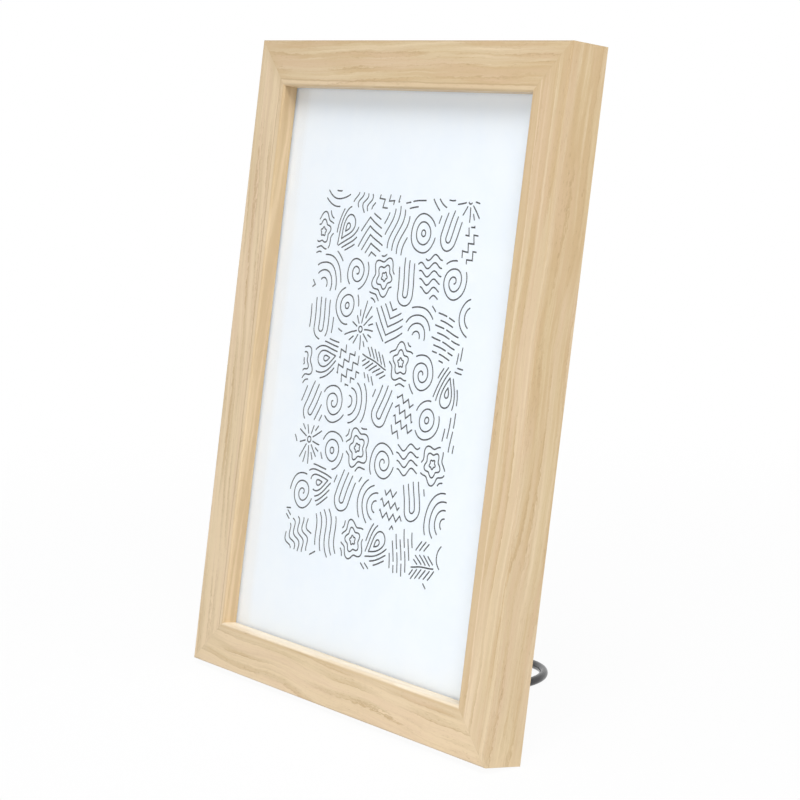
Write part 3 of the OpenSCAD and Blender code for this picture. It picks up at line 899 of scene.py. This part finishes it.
sleeve_profile = [(AXIS, -SLEEVE_LEN), (SLEEVE_R - 0.5, -SLEEVE_LEN), (SLEEVE_R, -SLEEVE_LEN + 0.5)]
sleeve_profile += [(SLEEVE_R, 0.0)] + rounded_rim(COLLAR_R, 0.0, COLLAR_T, 0.4)
sleeve_profile += [(SLEEVE_BORE + 0.2, COLLAR_T), (SLEEVE_BORE, COLLAR_T - 0.2)]
sleeve_profile += [(SLEEVE_BORE, -SLEEVE_LEN + SLEEVE_WALL), (AXIS, -SLEEVE_LEN + SLEEVE_WALL)]


def nylon_finish():
    """Moulded nylon: near black, faintly clouded, with the fine even texture of its mould."""
    finish = Finish("black_nylon", 0.5, Specular_IOR_Level=0.4)
    x, depth, z = finish.upright_mm()
    texture = finish.noise(finish.vector(x * 6.0, depth * 6.0, z * 6.0), 2.0)
    cloud = finish.noise(finish.vector(x * 0.6, depth * 0.6, z * 0.6), 3.0)
    finish.feed("Base Color", finish.mix(NYLON, NYLON_PALE, cloud.rise(0.3, 0.7)))
    finish.feed("Roughness", 0.4 + texture * 0.25)
    finish.bump(texture, 0.03)
    return finish.material


sleeve_grid = lean_back(turned(sleeve_profile, 48) + (0.0, 0.0, HOLE_Z))
piece("nylon_plug", [skin(sleeve_grid)], nylon_finish(), "stand_sleeve", ["wire_sleeve"])

# Wire stand
# One length of blackened steel wire: a pin in the plug, a shank straight down to the floor, a bend,
# and a nearly closed ring that lies flat behind the frame and carries it.
WIRE_R = 2.25
PIN_LEN = 12.5
HEEL_R = 14.0
NECK_R = 8.0
RING_R = 28.0
RING_Y = 90.0
RING_ASIDE = 6.0
RING_OPEN = 10.0
OXIDE = shade(24, 24, 26)
OXIDE_WORN = shade(48, 48, 50)
SHANK = (HOLE_Z * math.cos(LEAN) - WIRE_R) / math.sin(LEAN)
HEEL_TANGENT = HEEL_R * math.tan(LEAN / 2)
HEEL_Y = HOLE_Z * math.sin(LEAN) + SHANK * math.cos(LEAN)
NECK_REACH = math.sqrt((RING_R + NECK_R) ** 2 - (NECK_R + RING_ASIDE) ** 2)
NECK_TURN = math.atan2(NECK_REACH, NECK_R + RING_ASIDE)
NECK_Y = RING_Y - NECK_REACH


def straight(start, end, steps):
    """Stations along a straight stretch, without its end."""
    return np.linspace(start, end, steps, endpoint=False)


def wire_middle():
    """The wire's middle line: pin and shank, the bend onto the floor, a run, the neck and the ring."""
    slope = np.array([0.0, math.cos(LEAN), -math.sin(LEAN)])
    hole = np.array([0.0, HOLE_Z * math.sin(LEAN), HOLE_Z * math.cos(LEAN)])
    heel = np.linspace(-LEAN, 0, 12, endpoint=False)
    neck = np.linspace(math.pi, math.pi - NECK_TURN, 24, endpoint=False)
    ring = np.linspace(-NECK_TURN, math.radians(270 - RING_OPEN), 150)
    turn_y = HEEL_Y + HEEL_TANGENT
    return np.vstack([
        straight(hole - PIN_LEN * slope, hole + (SHANK - HEEL_TANGENT) * slope, 40),
        np.stack([0 * heel, turn_y + HEEL_R * np.sin(heel), WIRE_R + HEEL_R * (1 - np.cos(heel))], -1),
        straight((0.0, turn_y, WIRE_R), (0.0, NECK_Y, WIRE_R), 6),
        np.stack([NECK_R + NECK_R * np.cos(neck), NECK_Y + NECK_R * np.sin(neck), 0 * neck + WIRE_R], -1),
        np.stack([
            RING_R * np.cos(ring) - RING_ASIDE, RING_Y + RING_R * np.sin(ring), 0 * ring + WIRE_R
        ], -1),
    ])


def tube(middle, radius, steps=28):
    """A round section carried along a line that is never upright: one axis level, the other square to
    it. Past each end it shrinks as a flattened quarter circle does, which rounds the cut end."""
    way = np.gradient(middle, axis=0)
    way /= np.linalg.norm(way, axis=1)[:, None]
    cap = np.radians([4, 20, 40, 60, 78])
    first = middle[0] - way[0] * radius * np.cos(cap)[:, None] * 0.5
    last = middle[-1] + way[-1] * radius * np.cos(cap[::-1])[:, None] * 0.5
    line = np.vstack([first, middle, last])
    way = np.vstack([np.repeat(way[:1], len(cap), 0), way, np.repeat(way[-1:], len(cap), 0)])
    size = np.concatenate([radius * np.sin(cap), np.full(len(middle), radius), radius * np.sin(cap[::-1])])
    level = np.cross(way, (0.0, 0.0, 1.0))
    level /= np.linalg.norm(level, axis=1)[:, None]
    upper = np.cross(level, way)
    around = np.linspace(0, 2 * math.pi, steps, endpoint=False)
    spoke = np.cos(around)[None, :, None] * level[:, None] + np.sin(around)[None, :, None] * upper[:, None]
    return line[:, None] + size[:, None, None] * spoke


def wire_finish():
    """Oiled black oxide on steel: near black, with clouds, and fine scratches from noise."""
    finish = Finish("blackened_wire", 0.4, Metallic=0.3, Coat_Weight=0.5, Coat_Roughness=0.12)
    place = finish.node("ShaderNodeTexCoord", output="Object")
    scaled = finish.node("ShaderNodeMapping", inputs={"Vector": place, "Scale": (1 / MM,) * 3})
    x, y, z = finish.split(scaled)
    cloud = finish.noise(finish.vector(x * 0.25, y * 0.25, z * 0.25), 4.0, 0.6)
    scratch = finish.noise(finish.vector(x * 1.1, y * 1.1, z * 7.0), 3.0, 0.6)
    worn = (cloud * 0.6 + scratch * 0.5).rise(0.35, 0.75)
    finish.feed("Base Color", finish.mix(OXIDE, OXIDE_WORN, worn))
    finish.feed("Roughness", 0.24 + cloud * 0.14 + scratch * 0.08)
    finish.bump(cloud * 0.5 + scratch, 0.025)
    return finish.material


wire_grid = (tube(wire_middle(), WIRE_R) - (0.0, ORIGIN_Y, 0.0)) * MM
piece("wire_ring_stand", [skin(wire_grid)], wire_finish(), "stand_wire", ["wire_stand"])

# Wall bumpers
# Four self-adhesive domes of clear silicone on the back, which keep the frame off a wall.
BUMPER_R = 4.5
BUMPER_T = 2.0
BUMPER_SIDE = FRAME_W / 2 - 36.0
SILICONE = shade(246, 248, 249)
SILICONE_DUST = shade(226, 229, 231)

bumper_dome = np.radians(np.linspace(12, 89.5, 12))
bumper_profile = [(AXIS, 0.0), (BUMPER_R - 0.15, 0.0)]
bumper_profile += [(BUMPER_R * math.cos(a) ** 0.6, BUMPER_T * math.sin(a)) for a in bumper_dome]


def silicone_finish():
    """Milky clear silicone with dust in its skin."""
    finish = Finish("clear_silicone", 0.25, Transmission_Weight=0.75, IOR=1.41)
    x, depth, z = finish.upright_mm()
    dust = finish.noise(finish.vector(x * 3.0, depth * 3.0, z * 3.0), 3.0)
    finish.feed("Base Color", finish.mix(SILICONE, SILICONE_DUST, dust.rise(0.4, 0.75)))
    finish.feed("Roughness", 0.2 + dust * 0.2)
    finish.bump(dust, 0.02)
    return finish.material


bumper_parts = [
    skin(lean_back(turned(bumper_profile, 36) + (side * BUMPER_SIDE, 0.0, z)))
    for side in (-1, 1) for z in (SIDE_W / 2, FRAME_H - SIDE_W / 2)
]
piece("silicone_bumpers", bumper_parts, silicone_finish(), "frame", ["wall_bumpers"])

# Floor and light
# A white floor and surround light the frame evenly, with a broad lamp high at its front right and a small
# one low at its right. Camera, gloss and glass see them as plain white, less the object's soft shadow. But
# for that, the floor is see-through, so the stand's ring still shows where it swivels below the floor.
FLOOR_R = 12.0
FLOOR_STEPS = 96
FLOOR_BELOW = 0.0003
FLOOR_GREY = (0.94, 0.94, 0.94, 1.0)
SKY_LIGHT = 0.275
SKY_COLOUR = (0.93, 0.965, 1.0, 1.0)
# Each lamp: its place and width in metres, and its watts. All of them look at the frame's middle.
LAMPS_LOOK_AT = (0.0, 0.0, 0.16)
LAMPS = {
    "high_lamp": ((2.25, -1.75, 3.85), 2.6, 181.0),
    "low_lamp": ((0.55, -0.7, 0.05), 0.3, 1.7),
}
# The share of the floor that shows as plain white, and the distances over which it grows to all of it.
FLOOR_SHOWN_WHITE = 0.95
WHITE_FROM = 0.3
WHITE_BEYOND = 0.9


def seen_directly(finish):
    """1 for what the camera sees directly, in gloss or through glass, and 0 for light on its way."""
    kinds = ("Is Camera Ray", "Is Glossy Ray", "Is Transmission Ray")
    seen, mirrored, through = finish.node("ShaderNodeLightPath", output=kinds)
    return seen.most(mirrored).most(through)


floor_finish = Finish("white_floor")
floor_x, floor_y = floor_finish.split(floor_finish.node("ShaderNodeTexCoord", output="Object"))[:2]
floor_far = ((floor_x * floor_x + floor_y * floor_y) ** 0.5).rise(WHITE_FROM, WHITE_BEYOND)
floor_share = seen_directly(floor_finish) * (FLOOR_SHOWN_WHITE + floor_far * (1.0 - FLOOR_SHOWN_WHITE))
floor_lit = floor_finish.node("ShaderNodeBsdfDiffuse", inputs={"Color": FLOOR_GREY})
floor_clear = floor_finish.node("ShaderNodeBsdfTransparent", inputs={"Color": WHITE})
floor_mix = {0: floor_share, 1: floor_lit, 2: floor_clear}
floor_shown = floor_finish.node("ShaderNodeMixShader", inputs=floor_mix)
floor_finish.join(floor_shown, floor_finish.tree.nodes["Material Output"].inputs["Surface"])
floor_finish.tree.nodes.remove(floor_finish.shader)
floor_turn = np.linspace(0, 2 * math.pi, FLOOR_STEPS, endpoint=False)
floor_rim = np.stack([
    FLOOR_R * np.cos(floor_turn), FLOOR_R * np.sin(floor_turn), np.full(FLOOR_STEPS, -FLOOR_BELOW)
], -1)
floor_mesh = bpy.data.meshes.new("floor")
floor_mesh.from_pydata(floor_rim.tolist(), [], [list(range(FLOOR_STEPS))])
floor_mesh.materials.append(floor_finish.material)
floor = bpy.data.objects.new("floor", floor_mesh)
bpy.context.scene.collection.objects.link(floor)

world = bpy.data.worlds.new("studio")
world.use_nodes = True
bpy.context.scene.world = world


class Surround(Finish):
    """The same node methods, on the world's tree."""

    def __init__(self, world):
        self.tree = world.node_tree


surround = Surround(world)
sky = surround.node("ShaderNodeBackground", inputs={"Color": SKY_COLOUR, "Strength": SKY_LIGHT})
white = surround.node("ShaderNodeBackground", inputs={"Color": WHITE, "Strength": 1.0})
surround_shown = surround.node("ShaderNodeMixShader", inputs={0: seen_directly(surround), 1: sky, 2: white})
surround.join(surround_shown, surround.tree.nodes["World Output"].inputs["Surface"])

for name, (place, size, watts) in LAMPS.items():
    lamp = bpy.data.objects.new(name, bpy.data.lights.new(name, "AREA"))
    lamp.data.shape = "SQUARE"
    lamp.data.size = size
    lamp.data.energy = watts
    lamp.location = place
    looks = Vector(LAMPS_LOOK_AT) - Vector(place)
    lamp.rotation_euler = looks.to_track_quat("-Z", "Y").to_euler()
    bpy.context.scene.collection.objects.link(lamp)
bpy.context.scene.view_settings.view_transform = "Standard"
